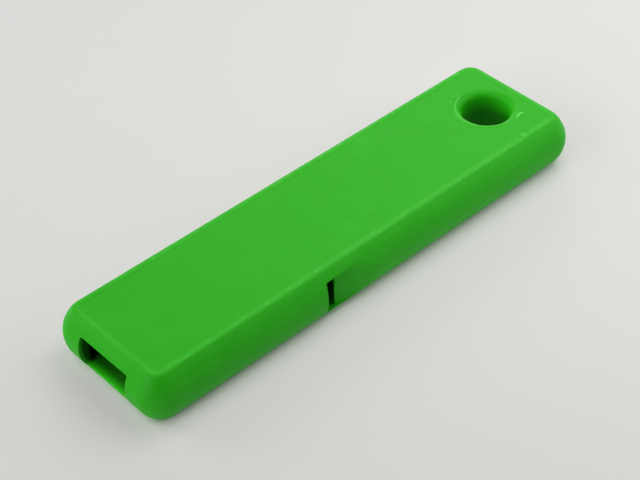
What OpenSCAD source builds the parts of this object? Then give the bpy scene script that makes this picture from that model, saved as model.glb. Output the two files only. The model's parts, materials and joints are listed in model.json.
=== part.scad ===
// Flat pealess dog whistle in green plastic, in millimetres.
// +X runs from the mouth end to the lanyard end, -Y is the side with the sound window, +Z is up.
// The origin is the middle of the underside. Places along the length are distances from the mouth end.

/* [Body] */
// Length from the mouth end to the lanyard end
body_length = 60; // [56:0.5:80]
// Width across the two long sides
body_width = 16.4; // [15:0.1:22]
// Height from the underside to the flat top
body_height = 6.2; // [5.6:0.1:7.6]
// Radius of the four corners seen from above
corner_radius = 2.8; // [2.4:0.1:4]
// Radius of the rounded sides, centred at mid height
side_radius = 4; // [3.9:0.1:6]

/* [Walls] */
// Roof over the passages
roof_thickness = 1.1; // [0.8:0.05:1.6]
// Side walls of the chamber at mid height
side_wall = 1.2; // [1:0.05:1.8]
// Wall at the mouth end
front_wall = 1.2; // [1:0.1:2]
// Base plate under the passages
base_thickness = 0.9; // [0.8:0.05:1.4]
// Chamfer in the corner of the cavity behind the wall at the mouth end
cavity_chamfer = 1.2; // [0.6:0.1:2]

/* [Windway] */
// Width of the mouth slot
slot_width = 7.4; // [6:0.1:10]
// Height of the mouth slot above the base plate
slot_height = 4.06; // [3:0.02:4.2]
// Mouth end to the front of the windway block at the side wall
block_start = 4.6; // [4.2:0.1:6]
// Thickness of the air jet where it leaves the windway
jet_thickness = 0.8; // [0.5:0.05:1.2]
// Depth that the windway is let into the side wall
jet_recess = 0.4; // [0.2:0.05:0.6]
// Straight run of the windway just before the window
jet_run = 6; // [3:0.5:9]

/* [Sound window] */
// Mouth end to the front edge of the window
window_start = 22.7; // [20:0.1:26]
// Gap from the windway to the edge that splits the jet
window_gap = 1.4; // [1:0.1:2.5]
// Length of the ramp behind that edge
ramp_length = 5.2; // [4:0.1:8]
// Thickness of the splitting edge
labium_edge = 0.15; // [0.1:0.05:0.4]

/* [Chamber] */
// Length of the sounding chamber, which sets the pitch
chamber_length = 13.2; // [8:0.1:14]
// Thickness of the stop that closes the chamber
stop_thickness = 4; // [3:0.1:5]

/* [Lanyard hole] */
// Lanyard end to the centre of the hole
hole_from_end = 6.1; // [5.8:0.1:9]
// Radius of the bore
hole_radius = 2.75; // [1.5:0.05:3]
// Rounding of both rims of the bore
rim_round = 0.8; // [0.3:0.05:0.85]

/* [Locating pegs] */
// Radius of the pegs on the base plate
peg_radius = 0.9; // [0.6:0.05:1.1]
// Height of the pegs above the base plate
peg_height = 1.6; // [1:0.1:2.4]
// Distance from the chamber's side wall to the pegs of the block and the stop
peg_inset = 2.5; // [2.2:0.1:3.5]
// Distance from an insert's end faces to its pegs
peg_end_inset = 4; // [3:0.5:5]
// Least plastic between the lanyard hole's rim and the pegs beside it
peg_land = 1.3; // [1:0.1:1.5]

/* [Fits] */
// Clearance round the inserts
insert_clearance = 0.1; // [0.05:0.01:0.2]
// Clearance round and above the pegs
peg_clearance = 0.1; // [0.05:0.01:0.2]

/* [Hidden] */
$fn = 96;
green = [0.235, 0.69, 0.19];
inner_green = [0.2, 0.6, 0.165];
// Overrun of a cut past the face that it opens
overcut = 1;

mouth_x = -body_length / 2;
cavity_top = body_height - roof_thickness;
cavity_height = cavity_top - base_thickness;
wall_y = body_width / 2 - side_wall;
recess_y = -wall_y - jet_recess;
jet_y = recess_y + jet_thickness;
taper_end = window_start - jet_run;
labium_start = window_start + window_gap;
ramp_end = labium_start + ramp_length;
stop_start = window_start + chamber_length;
cavity_end = stop_start + stop_thickness;
hole_x = body_length - hole_from_end;
rim_radius = hole_radius + rim_round;
socket_radius = peg_radius + peg_clearance;
socket_depth = peg_height + peg_clearance;
peg_y = wall_y - peg_inset;
rear_peg_y = rim_radius + peg_land + peg_radius;

block_pegs = [[block_start + peg_inset + peg_end_inset, peg_y], [window_start - peg_end_inset, peg_y]];
stop_pegs = [for (side = [-1, 1]) [stop_start + stop_thickness / 2, side * peg_y]];
rear_pegs = [for (side = [-1, 1]) [hole_x, side * rear_peg_y]];

// Flat section of the given width with rounded sides, standing on the X axis
module rounded_section(width) {
    translate([0, body_height / 2])
        intersection() {
            square([width, body_height], center = true);
            union() {
                square([width - 2 * side_radius, body_height], center = true);
                for (side = [-1, 1])
                    translate([side * (width / 2 - side_radius), 0])
                        circle(side_radius);
            }
        }
}

// Turned corner post with the same rounded side
module corner_post() {
    rotate_extrude()
        intersection() {
            square([corner_radius, body_height]);
            translate([corner_radius - side_radius, body_height / 2])
                circle(side_radius);
        }
}

// Whole outer form, a flat bar with rounded sides and corners
module bar() {
    straight_length = body_length - 2 * corner_radius;
    straight_width = body_width - 2 * corner_radius;
    rotate([90, 0, 90])
        linear_extrude(straight_length, center = true)
            rounded_section(body_width);
    rotate([90, 0, 0])
        linear_extrude(straight_width, center = true)
            rounded_section(body_length);
    for (end = [-1, 1], side = [-1, 1])
        translate([end * straight_length / 2, side * straight_width / 2, 0])
            corner_post();
}

// Slab that covers the bar from one height to another
module slab(bottom, top) {
    translate([mouth_x - overcut, -body_width / 2 - overcut, bottom])
        cube([body_length + 2 * overcut, body_width + 2 * overcut, top - bottom]);
}

// Bore through the whole height with a rounded rim at both ends
module lanyard_hole() {
    translate([mouth_x + hole_x, 0, 0]) {
        translate([0, 0, -overcut])
            cylinder(h = body_height + 2 * overcut, r = hole_radius);
        rim_cut();
        translate([0, 0, body_height])
            mirror([0, 0, 1])
                rim_cut();
    }
}

// Material taken off the lower rim by its rounding
module rim_cut() {
    rotate_extrude()
        difference() {
            square([rim_radius, rim_round]);
            translate([rim_radius, rim_round])
                circle(rim_round);
        }
}

// Plan of a passage, drawn from the mouth end, raised from the base plate
module passage(points, height) {
    translate([mouth_x, 0, base_thickness])
        linear_extrude(height)
            polygon(points);
}

// Slot through the wall at the mouth end, open below
module mouth_slot() {
    translate([mouth_x - overcut, -slot_width / 2, base_thickness])
        cube([front_wall + 2 * overcut, slot_width, slot_height]);
}

// Windway and chamber in one, open below
module cavity() {
    passage([
        [front_wall, -slot_width / 2],
        [taper_end, recess_y],
        [window_start, recess_y],
        [window_start, -wall_y],
        [cavity_end, -wall_y],
        [cavity_end, wall_y],
        [front_wall + cavity_chamfer, wall_y],
        [front_wall, wall_y - cavity_chamfer]
    ], cavity_height);
}

// Window through the side wall and the ramp behind it
module sound_window() {
    outside_y = -body_width / 2;
    passage([
        [window_start, outside_y - overcut],
        [ramp_end, outside_y - overcut],
        [ramp_end, outside_y],
        [labium_start, -wall_y - labium_edge],
        [labium_start, -wall_y + overcut],
        [window_start, -wall_y + overcut]
    ], cavity_height);
}

// Round pegs or the sockets for them at the listed places
module pegs(places, radius, height) {
    for (place = places)
        translate([mouth_x + place.x, place.y, base_thickness / 2])
            cylinder(h = base_thickness / 2 + height, r = radius);
}

// Roof, walls, window and the solid lanyard end
module upper_shell() {
    color(green)
        difference() {
            intersection() {
                bar();
                slab(base_thickness, body_height + overcut);
            }
            mouth_slot();
            cavity();
            sound_window();
            lanyard_hole();
            pegs(rear_pegs, socket_radius, socket_depth);
        }
}

// Floor of the whistle with the lower rounding of the sides and the locating pegs
module base_plate() {
    color(green) {
        difference() {
            intersection() {
                bar();
                slab(-overcut, base_thickness);
            }
            lanyard_hole();
        }
        pegs(concat(block_pegs, stop_pegs, rear_pegs), peg_radius, peg_height);
    }
}

// Fipple block that narrows the windway to a thin jet along the side wall
module windway_block() {
    side = wall_y - insert_clearance;
    color(inner_green)
        difference() {
            passage([
                [block_start, side],
                [taper_end, jet_y],
                [window_start, jet_y],
                [window_start, side]
            ], cavity_height - insert_clearance);
            pegs(block_pegs, socket_radius, socket_depth);
        }
}

// Stop that closes the chamber and sets its length
module chamber_stop() {
    back = cavity_end - insert_clearance;
    side = wall_y - insert_clearance;
    color(inner_green)
        difference() {
            passage([
                [stop_start, -side],
                [back, -side],
                [back, side],
                [stop_start, side]
            ], cavity_height - insert_clearance);
            pegs(stop_pegs, socket_radius, socket_depth);
        }
}

upper_shell();
base_plate();
windway_block();
chamber_stop();
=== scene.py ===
"""Green printed dog whistle on a pale table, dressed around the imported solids.

Pieces are modelled in millimetres in the part's frame and are scaled to metres when they are finished.
"""

import json
import math

import bmesh
import bpy
from mathutils import Euler, Matrix, Vector, geometry, noise


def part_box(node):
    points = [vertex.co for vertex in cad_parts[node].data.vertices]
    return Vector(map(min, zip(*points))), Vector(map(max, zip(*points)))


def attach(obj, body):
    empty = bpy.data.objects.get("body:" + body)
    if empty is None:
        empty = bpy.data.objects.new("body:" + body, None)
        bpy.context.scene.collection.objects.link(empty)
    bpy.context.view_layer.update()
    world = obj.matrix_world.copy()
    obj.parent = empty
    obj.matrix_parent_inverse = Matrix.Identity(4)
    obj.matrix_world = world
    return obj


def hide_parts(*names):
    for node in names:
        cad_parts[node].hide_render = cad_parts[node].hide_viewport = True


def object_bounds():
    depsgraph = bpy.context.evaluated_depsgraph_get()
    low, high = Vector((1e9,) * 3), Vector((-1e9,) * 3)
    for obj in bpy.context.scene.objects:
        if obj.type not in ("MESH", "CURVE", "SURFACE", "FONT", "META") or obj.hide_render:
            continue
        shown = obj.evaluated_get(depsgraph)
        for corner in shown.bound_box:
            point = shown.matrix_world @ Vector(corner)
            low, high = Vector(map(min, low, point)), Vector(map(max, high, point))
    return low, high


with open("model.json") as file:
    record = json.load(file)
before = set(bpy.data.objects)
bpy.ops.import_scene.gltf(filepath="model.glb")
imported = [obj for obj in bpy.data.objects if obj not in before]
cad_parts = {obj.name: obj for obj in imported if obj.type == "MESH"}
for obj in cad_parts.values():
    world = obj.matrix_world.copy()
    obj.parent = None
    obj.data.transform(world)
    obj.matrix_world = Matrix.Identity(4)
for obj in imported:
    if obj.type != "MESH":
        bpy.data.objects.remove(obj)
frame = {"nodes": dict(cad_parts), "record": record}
cad_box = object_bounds()

MM = 0.001

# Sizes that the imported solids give, in millimetres
low, high = (corner / MM for corner in cad_box)
block_low, block_high = (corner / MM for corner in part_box("windway_block"))
stop_low, stop_high = (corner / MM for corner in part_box("chamber_stop"))
lanyard = next(mount for mount in frame["record"]["mounts"] if mount["name"] == "lanyard_hole")
LENGTH, WIDTH, HEIGHT = high - low
SEAM_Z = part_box("upper_shell")[0].z / MM
HOLE = Vector(lanyard["pos_m"]) / MM
HOLE_RADIUS = lanyard["dims"]["r_mm"]
RIM_ROUND = (HEIGHT - lanyard["dims"]["length_mm"]) / 2

# Sizes that the solids have but do not state, in millimetres
CORNER_RADIUS = 2.8
SIDE_RADIUS = 4.0
FRONT_WALL = 1.2
CAVITY_CHAMFER = 1.2
INSERT_CLEARANCE = 0.1
SLOT_WIDTH = 7.4
SLOT_HEIGHT = 4.06
JET_THICKNESS = 0.8
JET_RUN = 6.0
WINDOW_GAP = 1.4
RAMP_LENGTH = 5.2
LABIUM_EDGE = 0.15
PEG_RADIUS = 0.9
PEG_HEIGHT = 1.6
PEG_CLEARANCE = 0.1
PEG_INSET = 2.5
PEG_END_INSET = 4.0
PEG_LAND = 1.3

# Places worked out from both
CORNER_X = LENGTH / 2 - CORNER_RADIUS
CORNER_Y = WIDTH / 2 - CORNER_RADIUS
MOUTH_X = low.x
FRONT_X = MOUTH_X + FRONT_WALL
WALL_Y = block_high.y + INSERT_CLEARANCE
CAVITY_TOP = block_high.z + INSERT_CLEARANCE
SLOT_TOP = SEAM_Z + SLOT_HEIGHT
SLOT_EDGES = (-SLOT_WIDTH / 2, SLOT_WIDTH / 2)
JET_Y = block_low.y
RECESS_Y = JET_Y - JET_THICKNESS
WINDOW_X = block_high.x
LABIUM_X = WINDOW_X + WINDOW_GAP
RAMP_END_X = LABIUM_X + RAMP_LENGTH
WINDOW_EDGES = (WINDOW_X, RAMP_END_X)
CAVITY_END_X = stop_high.x + INSERT_CLEARANCE
STOP_X = (stop_low.x + CAVITY_END_X) / 2
PEG_Y = WALL_Y - PEG_INSET
REAR_PEG_Y = HOLE_RADIUS + RIM_ROUND + PEG_LAND + PEG_RADIUS
BLOCK_PEGS = [(block_low.x + PEG_INSET + PEG_END_INSET, PEG_Y), (WINDOW_X - PEG_END_INSET, PEG_Y)]
STOP_PEGS = [(STOP_X, -PEG_Y), (STOP_X, PEG_Y)]
REAR_PEGS = [(HOLE.x, -REAR_PEG_Y), (HOLE.x, REAR_PEG_Y)]

# Fineness of the meshes: lengths and areas in millimetres, and counts
GRID_STEP = 0.2
EDGE_ROOM = 0.25
OVERCUT = 1.0
WELD = 0.0005
SIDE_TOLERANCE = 0.02
FLAT_AREA = 20.0
SHARP_ANGLE = math.radians(32)
CORNER_STEPS = 14
SHELL_STEPS = 24
PLATE_STEPS = 8
BEAD_STEPS = 10
SLOT_CORNER_STEPS = 5
LIP_STEPS = 6
CUT_STEPS = 3
HOLE_STEPS = 128
RIM_STEPS = 10
PEG_STEPS = 48
RIM_LINE_STEPS = 40
LINE_SIDES = 8
BLOB_SIDES = 16
BLOB_STEPS = 5

# Top of the shell: print marks of at most the mark height stand on the deck
MARK_HEIGHT = 0.1
DECK_Z = HEIGHT - MARK_HEIGHT
LEVEL_TOLERANCE = MARK_HEIGHT / 20
TOP_MARGIN = 0.4

# Bead of the outermost printed line, in millimetres, and the factor that brings its peak to about 1
BEAD_WIDTH = 0.9
BEAD_HEIGHT = 0.06
BEAD_PEAK = 1.72
# Mean, swells and dots of the bead as shares of its height, with the waves of their noise per millimetre
BEAD_MEAN = 0.7
BEAD_SWELL = 0.2
SWELL_WAVES = 0.3
DOT_RISE = 3.0
DOT_WAVES = 2.0
DOT_LEVEL = 0.22

# Softened edges, in millimetres, with the profile that makes a bevel round
CUT_BEVEL = 0.2
ROUND_PROFILE = 0.5
SLOT_CORNER = 0.25
SEAM_BEVEL = 0.04
WINDOW_FLARE = 0.35
LIP_ROUND = 0.4
LIP_REACH = 0.35
LIP_TURN = math.radians(60)
RIM_TURN = math.radians(84)
RIM_FLARE = 0.12

# Lines of plastic on the top: one along the hole's rim on its mouth side, and a string beside the hole
RIM_LINE_INSET = 0.15
RIM_LINE_RADIUS = HOLE_RADIUS + RIM_ROUND - RIM_LINE_INSET
RIM_LINE_FIRST = math.radians(95)
RIM_LINE_LAST = math.radians(265)
RIM_LINE_WIDTH = 0.5
STRING_PATH = [(24.9, -3.6), (25.4, -3.5), (25.8, -3.35), (26.1, -3.4), (26.2, -3.7)]
STRING_WIDTH = 0.34
# Size of a line at its ends, and its mean and swing along the way, as shares, with waves per millimetre
LINE_END = 0.4
LINE_MEAN = 0.85
LINE_SWING = 0.3
LINE_WAVES = 1.5

# Blobs of plastic on the top: place, radius and height
BLOB_HEIGHT = 0.06
BLOBS = [
    (23.2, -6.3, 0.5, MARK_HEIGHT),
    (26.2, -5.1, 0.25, BLOB_HEIGHT),
    (22.6, 3.9, 0.25, BLOB_HEIGHT),
    (21.8, 3.3, 0.3, BLOB_HEIGHT),
]

# Painted highlight on softened and raised places, in units of the tone that the painted highlight adds
# below
CUT_LIGHTNESS = 2.0
RIM_LINE_LIGHTNESS = 1.6
STRING_LIGHTNESS = 5.0
BEAD_LIGHTNESS = 0.4

# Middle of the values that a noise texture gives
NOISE_MIDDLE = 0.5

# Plastic: greens from dark to light, waves of its patterns per millimetre, and what each adds to the tone
DARK_GREEN = (0.006, 0.23, 0.002)
MIDDLE_GREEN = (0.018, 0.405, 0.003)
LIGHT_GREEN = (0.13, 0.74, 0.09)
MIDDLE_TONE = 0.5
BLOTCH_WAVES = (0.35, 0.35, 0.35)
STREAK_WAVES = (0.15, 0.15, 4.0)
GRAIN_WAVES = (6.0, 6.0, 6.0)
FINE_DETAIL = 3.0
PLAIN_DETAIL = 2.0
BLOTCH_TONE = 0.1
STREAK_TONE = 0.07
GRAIN_TONE = 0.06
HIGHLIGHT_TONE = 0.09
PLASTIC_ROUGHNESS = 0.5
BLOTCH_ROUGHNESS = 0.2
PLASTIC_SPECULAR = 0.16
STREAK_BUMP = 0.5
BUMP_STRENGTH = 0.15
BUMP_DISTANCE = 0.04 * MM

# Painted light and shade in the passages: depths where each begins and is full, in millimetres, and its
# strength
LIP_SPAN = (0.0, 0.15)
LIP_LIGHT = 0.5
SHADE_SPAN = (0.35, 1.2)
BORE_LIGHT_SPAN = (0.2, 0.8)
BORE_LIGHT = 0.15
BORE_SHADE_SPAN = (0.9, 2.9)
BORE_SHADE = -0.45
# Walls of the windway: heights above the seam, how much sooner their painted shade comes and the painted
# light left on them
WALL_FOOT = 0.05
WALL_TOP = 0.5
WALL_SOONER = 1.0
WALL_LIGHT = 0.2

# Table: its colours, its unevenness in waves per millimetre, and its reach from the middle in metres
TABLE_DARK = (0.81, 0.8, 0.785)
TABLE_LIGHT = (0.85, 0.84, 0.825)
TABLE_WAVES = (0.02, 0.02, 0.02)
TABLE_ROUGHNESS = 0.7
TABLE_SPECULAR = 0.2
TABLE_REACH = 4.0
# Glow of the table, painted light, with lengths in millimetres: stronger with X + Y, a smaller share near
# the whistle
GLOW_AXIS = (1.0, 1.0, 0.0)
GLOW_SPAN = (-100.0, 150.0)
GLOW_STRENGTH = (0.542, 0.67)
GLOW_SHARE = 0.45
GLOW_SHARE_SPAN = (90.0, 300.0)
# Width of the strip along the whistle's foot in which the glow fades to nothing, a painted deepening of its
# contact shadow, in millimetres
CONTACT_REACH = 1.5

# Backdrop where it is seen or mirrored, and the light from all round elsewhere
BACKDROP_TINT = (1.0, 0.985, 0.96, 1.0)
BACKDROP_STRENGTH = 0.75
WORLD_STRENGTH = 0.01

# Camera at the photograph's viewing angle: place and range in metres, turn about X, Y and Z in degrees
CAMERA_PLACE = Vector((-0.087336, -0.097624, 0.119330))
CAMERA_TURN = (47.988, 1.4715, -42.7067)
CAMERA_LENS_MM = 93.48
CAMERA_SENSOR_MM = 36.0
CAMERA_NEAR = 0.001
CAMERA_FAR = 10.0

# Soft lamps: name, place and width in metres, and power in watts
LAMPS = [
    ("mouth_key", (-0.752, 0.0, 0.274), 0.5, 2.42),
    ("mouth_high", (-0.34, 0.02, 0.72), 0.5, 0.95),
    ("back_low", (0.5, 0.57, 0.25), 0.5, 1.54),
    ("near_end", (0.131, 0.0, 0.092), 0.1, 0.036),
    ("near_left", (-0.093, 0.093, 0.092), 0.1, 0.042),
    ("left_low", (-0.094, 0.163, 0.068), 0.12, 0.075),
    ("near_right", (0.093, -0.093, 0.092), 0.1, 0.043),
    ("side_end", (0.167, -0.097, 0.052), 0.12, 0.0615),
    ("over_end", (0.05, 0.0, 0.12), 0.1, 0.066),
]


def side_inset(z):
    """Distance of the rounded side inside the widest outline at a height."""
    return SIDE_RADIUS - math.sqrt(SIDE_RADIUS**2 - (z - HEIGHT / 2) ** 2)


def stations(half, cuts):
    """Places along a straight stretch from -half to half that stay clear of the edges of the cuts."""
    count = round(2 * half / GRID_STEP)
    places = [half * (2 * step / count - 1) for step in range(1, count)]
    return [place for place in places if all(abs(place - cut) > EDGE_ROOM for cut in cuts)]


def outline(inset):
    """Points of the rounded rectangle that lies inside the widest outline by an inset."""
    radius = CORNER_RADIUS - inset
    points = []
    for turn, (sign_x, sign_y) in enumerate([(1, -1), (1, 1), (-1, 1), (-1, -1)]):
        centre = Vector((sign_x * CORNER_X, sign_y * CORNER_Y))
        for step in range(CORNER_STEPS + 1):
            angle = math.pi / 2 * (turn - 1 + step / CORNER_STEPS)
            points.append(centre + radius * Vector((math.cos(angle), math.sin(angle))))
        end = points[-1]
        if turn % 2 == 0:
            points += [Vector((end.x, sign_x * y)) for y in stations(CORNER_Y, SLOT_EDGES)]
        else:
            points += [Vector((-sign_y * x, end.y)) for x in stations(CORNER_X, WINDOW_EDGES)]
    return points


def arc_profile(bottom, top, steps):
    """Pairs of inset and height along the rounded side that stay clear of the upper edges of the cuts."""
    start = math.asin((bottom - HEIGHT / 2) / SIDE_RADIUS)
    end = math.asin((top - HEIGHT / 2) / SIDE_RADIUS)
    angles = [start + (end - start) * step / steps for step in range(1, steps)]
    heights = [HEIGHT / 2 + SIDE_RADIUS * math.sin(angle) for angle in angles]
    clear = [z for z in heights if min(abs(z - SLOT_TOP), abs(z - CAVITY_TOP)) > EDGE_ROOM]
    return [(side_inset(z), z) for z in [bottom, *clear, top]]


def bead_height(x, y):
    """Height of the outermost printed line at a place, with swells, and with dots away from the ends."""
    place = Vector((x, y, 0.0))
    share = BEAD_MEAN + BEAD_SWELL * noise.noise(place * SWELL_WAVES)
    if abs(x) < CORNER_X:
        share += DOT_RISE * max(0.0, noise.noise(place * DOT_WAVES) - DOT_LEVEL)
    return min(MARK_HEIGHT, BEAD_HEIGHT * share)


def bead_profile(share):
    """Rise across a bead from its outer edge, steep there and flat at the inner edge, at most 1."""
    return BEAD_PEAK * math.sin(math.pi * share) * (1 - share)


def lofted(rings):
    """Closed mesh through rings of equal length, with a face on the first and on the last."""
    bm = bmesh.new()
    rows = [[bm.verts.new(point) for point in ring] for ring in rings]
    count = len(rows[0])
    for below, above in zip(rows, rows[1:]):
        for i in range(count):
            j = (i + 1) % count
            bm.faces.new((below[i], below[j], above[j], above[i]))
    bm.faces.new(list(reversed(rows[0])))
    bm.faces.new(rows[-1])
    bmesh.ops.recalc_face_normals(bm, faces=bm.faces)
    return bm


def level_ring(inset, z):
    """Ring of the outline at one height."""
    return [(x, y, z) for x, y in outline(inset)]


def shell_blank():
    """Upper part of the bar, with the printed bead along the edge of its top."""
    rings = [level_ring(side_inset(SEAM_Z) + SEAM_BEVEL, SEAM_Z)]
    rings += [level_ring(inset, z) for inset, z in arc_profile(SEAM_Z + SEAM_BEVEL, DECK_Z, SHELL_STEPS)]
    crease = side_inset(DECK_Z)
    for step in range(1, BEAD_STEPS + 1):
        share = step / BEAD_STEPS
        rise = bead_profile(share)
        plan = outline(crease + BEAD_WIDTH * share)
        rings.append([(x, y, DECK_Z + rise * bead_height(x, y)) for x, y in plan])
    rings.append(level_ring(crease + BEAD_WIDTH + TOP_MARGIN, DECK_Z))
    return lofted(rings)


def plate_blank():
    """Lower part of the bar, down to the flat underside."""
    rings = [level_ring(side_inset(0.0) + TOP_MARGIN, 0.0)]
    rings += [level_ring(inset, z) for inset, z in arc_profile(0.0, SEAM_Z - SEAM_BEVEL, PLATE_STEPS)]
    rings.append(level_ring(side_inset(SEAM_Z) + SEAM_BEVEL, SEAM_Z))
    return lofted(rings)


def prism(points, bottom, top):
    """Closed mesh of a plan outline raised from one height to another."""
    return lofted([[(x, y, z) for x, y in points] for z in (bottom, top)])


def slot_cutter():
    """Mouth slot through the wall at the mouth end, with its upper corners a little rounded."""
    half = SLOT_WIDTH / 2
    section = [(half, SEAM_Z - OVERCUT)]
    for sign, start in ((1, 0.0), (-1, math.pi / 2)):
        for step in range(SLOT_CORNER_STEPS + 1):
            angle = start + math.pi / 2 * step / SLOT_CORNER_STEPS
            y = sign * (half - SLOT_CORNER) + SLOT_CORNER * math.cos(angle)
            section.append((y, SLOT_TOP - SLOT_CORNER * (1 - math.sin(angle))))
    section.append((-half, SEAM_Z - OVERCUT))
    return lofted([[(x, y, z) for y, z in section] for x in (MOUTH_X - OVERCUT, FRONT_X + OVERCUT)])


def lip_cutter():
    """What the rounding of the slot's lower lip takes off the base."""
    edge = MOUTH_X + side_inset(SEAM_Z)
    section = [(edge - OVERCUT, SEAM_Z + OVERCUT), (edge + LIP_REACH, SEAM_Z + OVERCUT)]
    for step in range(LIP_STEPS + 1):
        angle = LIP_TURN * step / LIP_STEPS
        x = edge + LIP_REACH - LIP_ROUND * math.sin(angle)
        section.append((x, SEAM_Z - LIP_ROUND * (1 - math.cos(angle))))
    section.append((edge - OVERCUT, section[-1][1]))
    return lofted([[(x, y, z) for x, z in section] for y in SLOT_EDGES])


def cavity_cutter():
    """Windway and chamber in one, open below."""
    plan = [
        (FRONT_X, -SLOT_WIDTH / 2),
        (WINDOW_X - JET_RUN, RECESS_Y),
        (WINDOW_X, RECESS_Y),
        (WINDOW_X, -WALL_Y),
        (CAVITY_END_X, -WALL_Y),
        (CAVITY_END_X, WALL_Y),
        (FRONT_X + CAVITY_CHAMFER, WALL_Y),
        (FRONT_X, WALL_Y - CAVITY_CHAMFER),
    ]
    return prism(plan, SEAM_Z - OVERCUT, CAVITY_TOP)


def window_cutter():
    """Window through the side wall, flared at its front edge, and the ramp behind it."""
    side_y = -WIDTH / 2
    plan = [
        (WINDOW_X - WINDOW_FLARE, side_y - OVERCUT),
        (RAMP_END_X, side_y - OVERCUT),
        (RAMP_END_X, side_y),
        (LABIUM_X, -WALL_Y - LABIUM_EDGE),
        (LABIUM_X, -WALL_Y + OVERCUT),
        (WINDOW_X, -WALL_Y + OVERCUT),
        (WINDOW_X, RECESS_Y),
        (WINDOW_X - WINDOW_FLARE, side_y),
    ]
    return prism(plan, SEAM_Z - OVERCUT, CAVITY_TOP)


def circle(centre, radius, z, steps):
    """Level ring of points about a centre."""
    angles = [2 * math.pi * step / steps for step in range(steps)]
    return [(centre[0] + radius * math.cos(a), centre[1] + radius * math.sin(a), z) for a in angles]


def hole_cutter(face_z, up):
    """Bore of the lanyard hole with the rounding of its upper rim (up is 1) or lower rim (up is -1)."""
    profile = [(HOLE_RADIUS, face_z - up * (HEIGHT + OVERCUT))]
    for step in range(RIM_STEPS + 1):
        angle = RIM_TURN * step / RIM_STEPS
        radius = HOLE_RADIUS + RIM_ROUND * (1 - math.cos(angle))
        profile.append((radius, face_z - up * RIM_ROUND * (1 - math.sin(angle))))
    radius, z = profile[-1]
    profile.append((radius + RIM_FLARE, z + up * RIM_FLARE / math.tan(RIM_TURN)))
    profile.append((radius + RIM_FLARE, z + up * OVERCUT))
    if up < 0:
        profile.reverse()
    return lofted([circle(HOLE, radius, z, HOLE_STEPS) for radius, z in profile])


def peg(place, clearance):
    """Round locating peg that stands on the base, or the room for one with a clearance."""
    radius = PEG_RADIUS + clearance
    heights = (SEAM_Z / 2, SEAM_Z + PEG_HEIGHT + clearance)
    return lofted([circle(place, radius, z, PEG_STEPS) for z in heights])


def rim_line_path():
    """Points along the rim of the hole on its mouth side, where the printed line stands proud."""
    span = RIM_LINE_LAST - RIM_LINE_FIRST
    angles = [RIM_LINE_FIRST + span * step / RIM_LINE_STEPS for step in range(RIM_LINE_STEPS + 1)]
    radius = RIM_LINE_RADIUS
    return [(HOLE.x + radius * math.cos(a), HOLE.y + radius * math.sin(a)) for a in angles]


def plastic_lines():
    """Path, width and painted highlight of each line of plastic on the top."""
    rim_line = (rim_line_path(), RIM_LINE_WIDTH, RIM_LINE_LIGHTNESS)
    string = (STRING_PATH, STRING_WIDTH, STRING_LIGHTNESS)
    return [rim_line, string]


def plastic_line(path, width):
    """Line of plastic along a path on the top, thinner towards its ends."""
    up = Vector((0, 0, 1))
    points = [Vector((x, y, DECK_Z)) for x, y in path]
    last = len(points) - 1
    angles = [2 * math.pi * side / LINE_SIDES for side in range(LINE_SIDES)]
    rings = []
    for i, point in enumerate(points):
        ahead = points[min(i + 1, last)] - points[max(i - 1, 0)]
        across = ahead.cross(up).normalized()
        taper = LINE_END + (1 - LINE_END) * math.sin(math.pi * i / last)
        size = taper * (LINE_MEAN + LINE_SWING * noise.noise(LINE_WAVES * point))
        arms = [(math.cos(a) * width / 2 * across, math.sin(a) * MARK_HEIGHT * up) for a in angles]
        rings.append([point + size * (aside + lift) for aside, lift in arms])
    return lofted(rings)


def blob_mark(x, y, radius, height):
    """Low dome of plastic on the top."""
    rings = [circle((x, y), radius, DECK_Z - MARK_HEIGHT, BLOB_SIDES)]
    for step in range(BLOB_STEPS):
        angle = math.pi / 2 * step / BLOB_STEPS
        z = DECK_Z + height * math.sin(angle) ** 2
        rings.append(circle((x, y), radius * math.cos(angle), z, BLOB_SIDES))
    return lofted(rings)


def as_object(name, bm):
    """Object from a mesh, in the mesh's own units."""
    mesh = bpy.data.meshes.new(name)
    bm.to_mesh(mesh)
    bm.free()
    obj = bpy.data.objects.new(name, mesh)
    bpy.context.scene.collection.objects.link(obj)
    return obj


def combine(obj, bm, operation):
    """Adds a mesh's volume to an object or takes it out of it."""
    tool = as_object("tool", bm)
    modifier = obj.modifiers.new("combine", "BOOLEAN")
    modifier.operation = operation
    modifier.solver = "EXACT"
    modifier.object = tool
    graph = bpy.context.evaluated_depsgraph_get()
    combined = bpy.data.meshes.new_from_object(obj.evaluated_get(graph))
    obj.modifiers.clear()
    obj.data = combined
    bpy.data.objects.remove(tool)


def on_side(point):
    """Whether a point lies on the rounded side of the bar."""
    inset = side_inset(min(max(point.z, 0.0), HEIGHT))
    away = Vector((max(abs(point.x) - CORNER_X, 0.0), max(abs(point.y) - CORNER_Y, 0.0)))
    return abs(away.length - (CORNER_RADIUS - inset)) < SIDE_TOLERANCE


def soften_cuts(bm):
    """Rounds the edges where the slot and the window break through the side, and gives the new faces."""
    lowest = SEAM_Z + 2 * SEAM_BEVEL
    highest = CAVITY_TOP + EDGE_ROOM
    edges = []
    for edge in bm.edges:
        middle = (edge.verts[0].co + edge.verts[1].co) / 2
        if len(edge.link_faces) != 2 or not on_side(middle):
            continue
        if lowest < middle.z < highest and edge.calc_face_angle() > SHARP_ANGLE:
            edges.append(edge)
    made = bmesh.ops.bevel(
        bm,
        geom=edges,
        offset=CUT_BEVEL,
        offset_type="OFFSET",
        segments=CUT_STEPS,
        profile=ROUND_PROFILE,
        affect="EDGES",
        clamp_overlap=True,
    )
    return made["faces"]


def on_line(point, path, width):
    """Whether a point lies on the line of plastic along a path."""
    level = point.xy
    for start, end in zip(path, path[1:]):
        nearest, share = geometry.intersect_point_line(level, start, end)
        if 0.0 <= share <= 1.0 and (level - nearest.xy).length < width / 2:
            return True
    return False


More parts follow.
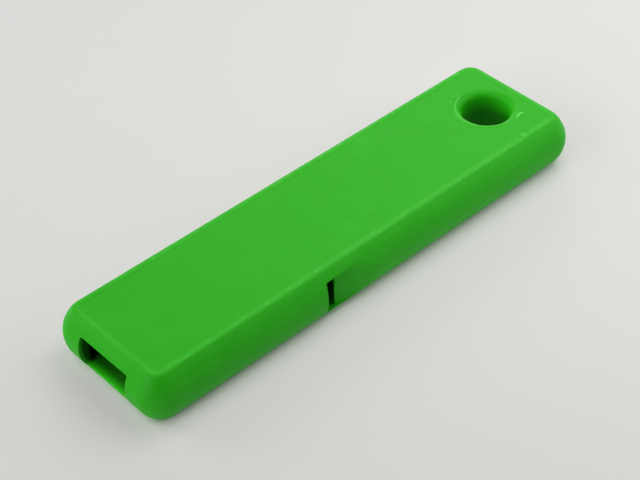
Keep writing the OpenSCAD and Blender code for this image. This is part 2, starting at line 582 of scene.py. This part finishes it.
def lightness(face, rounded, lines):
    """How much painted highlight each corner of a face gets, as lightness over the flat top."""
    count = len(face.loops)
    middle = face.calc_center_median()
    if face in rounded:
        return [CUT_LIGHTNESS] * count
    if middle.z < DECK_Z + LEVEL_TOLERANCE:
        return [0.0] * count
    for path, width, light in lines:
        if on_line(middle, path, width):
            return [light] * count
    heights = [max(0.0, (loop.vert.co.z - DECK_Z) / BEAD_HEIGHT) for loop in face.loops]
    return [BEAD_LIGHTNESS * height + (1 - BEAD_LIGHTNESS) * height**2 for height in heights]


def finish_mesh(obj, soften=False):
    """Rounds the cuts, stores the painted highlight of raised and rounded rims, sets sharp edges and scales
    the piece to metres.
    """
    bm = bmesh.new()
    bm.from_mesh(obj.data)
    bmesh.ops.remove_doubles(bm, verts=bm.verts, dist=WELD)
    rounded = set(soften_cuts(bm)) if soften else set()
    lines = plastic_lines()
    rim = bm.loops.layers.float.new("rim")
    for face in bm.faces:
        face.smooth = face.calc_area() < FLAT_AREA
        for loop, light in zip(face.loops, lightness(face, rounded, lines)):
            loop[rim] = light
    for edge in bm.edges:
        edge.smooth = len(edge.link_faces) == 2 and edge.calc_face_angle() < SHARP_ANGLE
    bm.to_mesh(obj.data)
    bm.free()
    obj.data.transform(Matrix.Scale(MM, 4))


def add_node(tree, kind, inputs, **settings):
    """Shader node with its settings, its inputs set to values or linked to other nodes' outputs."""
    made = tree.nodes.new(kind)
    for name, value in settings.items():
        setattr(made, name, value)
    for key, value in inputs.items():
        if isinstance(value, bpy.types.NodeSocket):
            tree.links.new(value, made.inputs[key])
        else:
            made.inputs[key].default_value = value
    return made


def calc(tree, operation, *values):
    """Output of a Math node on values or sockets."""
    return add_node(tree, "ShaderNodeMath", dict(enumerate(values)), operation=operation).outputs[0]


def vector_outputs(tree, operation, values):
    """Outputs of a Vector Math node on vectors or sockets."""
    return add_node(tree, "ShaderNodeVectorMath", dict(enumerate(values)), operation=operation).outputs


def vector_calc(tree, operation, *values):
    """Vector that a Vector Math node gives."""
    return vector_outputs(tree, operation, values)["Vector"]


def vector_measure(tree, operation, *values):
    """Number that a Vector Math node gives, such as a length."""
    return vector_outputs(tree, operation, values)["Value"]


def axes_of(tree, vector):
    """Outputs X, Y and Z of a vector."""
    return add_node(tree, "ShaderNodeSeparateXYZ", {0: vector}).outputs


def smooth_step(tree, value, start, end):
    """Value that climbs smoothly from 0 at the start to 1 at the end."""
    inputs = {"Value": value, "From Min": start, "From Max": end}
    return add_node(tree, "ShaderNodeMapRange", inputs, interpolation_type="SMOOTHSTEP").outputs["Result"]


def wobble(tree, place, waves, detail):
    """Noise about 0 at a place, with its waves per millimetre along each axis."""
    scaled = vector_calc(tree, "MULTIPLY", place, waves)
    inputs = {"Vector": scaled, "Scale": 1.0, "Detail": detail}
    noise_value = add_node(tree, "ShaderNodeTexNoise", inputs).outputs["Fac"]
    return calc(tree, "SUBTRACT", noise_value, NOISE_MIDDLE)


def seen_or_mirrored(tree):
    """1 on rays from the camera and on those that gloss or glass sends on, and 0 on the rest."""
    path = add_node(tree, "ShaderNodeLightPath", {}).outputs
    mirrored = calc(tree, "MAXIMUM", path["Is Glossy Ray"], path["Is Transmission Ray"])
    return calc(tree, "MAXIMUM", path["Is Camera Ray"], mirrored)


def part_place(tree):
    """Place in the part's frame, in millimetres."""
    coordinates = add_node(tree, "ShaderNodeTexCoord", {}).outputs["Object"]
    return vector_calc(tree, "MULTIPLY", coordinates, (1 / MM, 1 / MM, 1 / MM))


def beyond_outline(tree, place):
    """How far a place lies outside the widest outline, negative inside it, in millimetres."""
    level = vector_calc(tree, "MULTIPLY", vector_calc(tree, "ABSOLUTE", place), (1.0, 1.0, 0.0))
    beyond = vector_calc(tree, "SUBTRACT", level, (CORNER_X, CORNER_Y, 0.0))
    outside = vector_measure(tree, "LENGTH", vector_calc(tree, "MAXIMUM", beyond, (0.0, 0.0, 0.0)))
    axes = axes_of(tree, beyond)
    inside = calc(tree, "MINIMUM", calc(tree, "MAXIMUM", axes["X"], axes["Y"]), 0.0)
    return calc(tree, "SUBTRACT", calc(tree, "ADD", outside, inside), CORNER_RADIUS)


def passage_depth(tree, place):
    """How far a place in the windway, up to the jet, lies behind the rounded side, or 0, in millimetres."""
    axes = axes_of(tree, place)
    rise = calc(tree, "SUBTRACT", axes["Z"], HEIGHT / 2)
    reach = calc(tree, "SQRT", calc(tree, "SUBTRACT", SIDE_RADIUS**2, calc(tree, "MULTIPLY", rise, rise)))
    surface = calc(tree, "SUBTRACT", reach, SIDE_RADIUS)
    depth = calc(tree, "SUBTRACT", surface, beyond_outline(tree, place))
    above_floor = calc(tree, "GREATER_THAN", axes["Z"], SEAM_Z - LIP_ROUND)
    below_roof = calc(tree, "LESS_THAN", axes["Z"], CAVITY_TOP + SEAM_BEVEL)
    before_jet = calc(tree, "LESS_THAN", axes["X"], WINDOW_X - JET_RUN)
    zone = calc(tree, "MULTIPLY", calc(tree, "MULTIPLY", above_floor, below_roof), before_jet)
    return calc(tree, "MULTIPLY", depth, zone)


def bore_depth(tree, place):
    """How far a place on the wall of the lanyard hole lies below the top, or 0, in millimetres."""
    level = vector_calc(tree, "MULTIPLY", vector_calc(tree, "SUBTRACT", place, HOLE), (1.0, 1.0, 0.0))
    inside = calc(tree, "LESS_THAN", vector_measure(tree, "LENGTH", level), HOLE_RADIUS + RIM_ROUND)
    below_top = calc(tree, "SUBTRACT", DECK_Z, axes_of(tree, place)["Z"])
    return calc(tree, "MULTIPLY", below_top, inside)


def painted_passage_light(tree, place):
    """Painted light on a place: more on the slot's lower lip and the hole's upper wall, painted shade
    deeper in.
    """
    windway = passage_depth(tree, place)
    bore = bore_depth(tree, place)
    wall = smooth_step(tree, axes_of(tree, place)["Z"], SEAM_Z + WALL_FOOT, SEAM_Z + WALL_TOP)
    floor = calc(tree, "SUBTRACT", 1.0, wall)
    lip = calc(tree, "MULTIPLY", smooth_step(tree, windway, *LIP_SPAN), floor)
    light = calc(tree, "MULTIPLY_ADD", lip, LIP_LIGHT, 1.0)
    depth = calc(tree, "MULTIPLY", windway, calc(tree, "MULTIPLY_ADD", wall, WALL_SOONER, 1.0))
    shade = calc(tree, "MULTIPLY_ADD", wall, WALL_LIGHT, -1.0)
    light = calc(tree, "MULTIPLY_ADD", smooth_step(tree, depth, *SHADE_SPAN), shade, light)
    light = calc(tree, "MULTIPLY_ADD", smooth_step(tree, bore, *BORE_LIGHT_SPAN), BORE_LIGHT, light)
    return calc(tree, "MULTIPLY_ADD", smooth_step(tree, bore, *BORE_SHADE_SPAN), BORE_SHADE, light)


def new_material(name):
    """Material with its node tree and its shader."""
    material = bpy.data.materials.new(name)
    material.use_nodes = True
    tree = material.node_tree
    return material, tree, tree.nodes["Principled BSDF"]


def colour_ramp(tree, value, stops):
    """Colour between stops of place and colour."""
    ramp = add_node(tree, "ShaderNodeValToRGB", {"Fac": value})
    elements = ramp.color_ramp.elements
    while len(elements) < len(stops):
        elements.new(1.0)
    for element, (place, colour) in zip(elements, stops):
        element.position = place
        element.color = (*colour, 1.0)
    return ramp.outputs["Color"]


def printed_plastic():
    """Satin green printed plastic: blotches, streaks along the layers, painted highlights on rims and
    painted shade in the passages.
    """
    material, tree, shader = new_material("printed_green")
    place = part_place(tree)
    blotches = wobble(tree, place, BLOTCH_WAVES, FINE_DETAIL)
    streaks = wobble(tree, place, STREAK_WAVES, FINE_DETAIL)
    grain = wobble(tree, place, GRAIN_WAVES, PLAIN_DETAIL)
    # Painted highlight along the bead, the softened edges, the lines of plastic and the blobs
    rim = add_node(tree, "ShaderNodeAttribute", {}, attribute_name="rim").outputs["Fac"]
    tone = calc(tree, "MULTIPLY_ADD", blotches, BLOTCH_TONE, MIDDLE_TONE)
    tone = calc(tree, "MULTIPLY_ADD", streaks, STREAK_TONE, tone)
    tone = calc(tree, "MULTIPLY_ADD", grain, GRAIN_TONE, tone)
    tone = calc(tree, "MULTIPLY_ADD", rim, HIGHLIGHT_TONE, tone)
    colour = colour_ramp(tree, tone, [(0.0, DARK_GREEN), (MIDDLE_TONE, MIDDLE_GREEN), (1.0, LIGHT_GREEN)])
    # The colour is scaled by painted light and shade in the passages
    inputs = {0: colour, "Scale": painted_passage_light(tree, place)}
    lit = add_node(tree, "ShaderNodeVectorMath", inputs, operation="SCALE")
    tree.links.new(lit.outputs["Vector"], shader.inputs["Base Color"])
    roughness = calc(tree, "MULTIPLY_ADD", blotches, BLOTCH_ROUGHNESS, PLASTIC_ROUGHNESS)
    tree.links.new(roughness, shader.inputs["Roughness"])
    shader.inputs["Specular IOR Level"].default_value = PLASTIC_SPECULAR
    height = calc(tree, "MULTIPLY_ADD", streaks, STREAK_BUMP, grain)
    inputs = {"Height": height, "Strength": BUMP_STRENGTH, "Distance": BUMP_DISTANCE}
    bump = add_node(tree, "ShaderNodeBump", inputs)
    tree.links.new(bump.outputs["Normal"], shader.inputs["Normal"])
    return material


def table_glow(tree, place):
    """Painted light on the table: a glow, a little brighter away from the camera's side."""
    inputs = {
        "Value": vector_measure(tree, "DOT_PRODUCT", place, GLOW_AXIS),
        "From Min": GLOW_SPAN[0],
        "From Max": GLOW_SPAN[1],
        "To Min": GLOW_STRENGTH[0],
        "To Max": GLOW_STRENGTH[1],
    }
    strength = add_node(tree, "ShaderNodeMapRange", inputs).outputs["Result"]
    inputs = {"Color": BACKDROP_TINT, "Strength": strength}
    return add_node(tree, "ShaderNodeEmission", inputs).outputs["Emission"]


def pale_table():
    """Smooth pale table, faintly uneven, with a glow on it where it is seen or mirrored, and painted shadow
    where the glow fades at the whistle's foot.
    """
    material, tree, shader = new_material("pale_table")
    place = part_place(tree)
    mottle = wobble(tree, place, TABLE_WAVES, FINE_DETAIL)
    tone = calc(tree, "ADD", mottle, NOISE_MIDDLE)
    colour = colour_ramp(tree, tone, [(0.0, TABLE_DARK), (1.0, TABLE_LIGHT)])
    tree.links.new(colour, shader.inputs["Base Color"])
    shader.inputs["Roughness"].default_value = TABLE_ROUGHNESS
    shader.inputs["Specular IOR Level"].default_value = TABLE_SPECULAR
    # Painted shadow: the glow's share shrinks near the whistle and fades to nothing at its foot
    away = smooth_step(tree, vector_measure(tree, "LENGTH", place), *GLOW_SHARE_SPAN)
    share = calc(tree, "MULTIPLY_ADD", away, 1 - GLOW_SHARE, GLOW_SHARE)
    foot = -side_inset(0.0)
    clear = smooth_step(tree, beyond_outline(tree, place), foot, foot + CONTACT_REACH)
    share = calc(tree, "MULTIPLY", calc(tree, "MULTIPLY", share, clear), seen_or_mirrored(tree))
    inputs = {"Fac": share, 1: shader.outputs["BSDF"], 2: table_glow(tree, place)}
    mixed = add_node(tree, "ShaderNodeMixShader", inputs)
    tree.links.new(mixed.outputs["Shader"], tree.nodes["Material Output"].inputs["Surface"])
    return material


def shell_mesh():
    """Shell with its hole, its print marks, the slot, the passages, the window and the rear sockets."""
    shell = as_object("whistle_shell", shell_blank())
    combine(shell, hole_cutter(DECK_Z, 1), "DIFFERENCE")
    for path, width, _ in plastic_lines():
        combine(shell, plastic_line(path, width), "UNION")
    for blob in BLOBS:
        combine(shell, blob_mark(*blob), "UNION")
    combine(shell, slot_cutter(), "DIFFERENCE")
    combine(shell, cavity_cutter(), "DIFFERENCE")
    combine(shell, window_cutter(), "DIFFERENCE")
    for place in REAR_PEGS:
        combine(shell, peg(place, PEG_CLEARANCE), "DIFFERENCE")
    finish_mesh(shell, soften=True)
    return shell


def plate_mesh():
    """Base plate with its hole, the slot's rounded lower lip and the locating pegs."""
    plate = as_object("whistle_base", plate_blank())
    combine(plate, hole_cutter(0.0, -1), "DIFFERENCE")
    combine(plate, lip_cutter(), "DIFFERENCE")
    for place in BLOCK_PEGS + STOP_PEGS + REAR_PEGS:
        combine(plate, peg(place, 0.0), "UNION")
    finish_mesh(plate)
    return plate


def add_camera():
    """Camera that sees the whistle as the photograph does."""
    data = bpy.data.cameras.new("camera")
    data.lens = CAMERA_LENS_MM
    data.sensor_width = CAMERA_SENSOR_MM
    data.clip_start = CAMERA_NEAR
    data.clip_end = CAMERA_FAR
    camera = bpy.data.objects.new("camera", data)
    turn = Euler([math.radians(angle) for angle in CAMERA_TURN]).to_matrix()
    camera.matrix_world = Matrix.Translation(CAMERA_PLACE) @ turn.to_4x4()
    bpy.context.scene.collection.objects.link(camera)
    bpy.context.scene.camera = camera


def add_floor():
    """Wide table top under the whistle, in metres."""
    bm = bmesh.new()
    bmesh.ops.create_grid(bm, x_segments=1, y_segments=1, size=TABLE_REACH)
    floor = as_object("floor", bm)
    floor.data.materials.append(pale_table())


def add_lamp(name, place, width, power):
    """Round soft lamp at a place in metres, turned to the whistle."""
    data = bpy.data.lights.new(name, "AREA")
    data.shape = "DISK"
    data.size = width
    data.energy = power
    lamp = bpy.data.objects.new(name, data)
    lamp.location = place
    lamp.visible_camera = False
    lamp.rotation_mode = "QUATERNION"
    lamp.rotation_quaternion = (-Vector(place)).to_track_quat("-Z", "Y")
    bpy.context.scene.collection.objects.link(lamp)


def add_world():
    """Even faint light from all round, which is a pale backdrop where it is seen or mirrored."""
    world = bpy.data.worlds.new("studio")
    world.use_nodes = True
    tree = world.node_tree
    background = tree.nodes["Background"]
    background.inputs["Color"].default_value = BACKDROP_TINT
    extra = BACKDROP_STRENGTH - WORLD_STRENGTH
    strength = calc(tree, "MULTIPLY_ADD", seen_or_mirrored(tree), extra, WORLD_STRENGTH)
    tree.links.new(strength, background.inputs["Strength"])
    bpy.context.scene.world = world


green = printed_plastic()

shell = shell_mesh()
shell.data.materials.append(green)
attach(shell, "root")
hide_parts("upper_shell")

plate = plate_mesh()
plate.data.materials.append(green)
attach(plate, "root")
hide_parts("base_plate")

for name in ("windway_block", "chamber_stop"):
    insert = frame["nodes"][name]
    insert.data.materials.clear()
    insert.data.materials.append(green)

add_camera()
add_floor()
for lamp in LAMPS:
    add_lamp(*lamp)
add_world()

bpy.context.scene.view_settings.view_transform = "Standard"
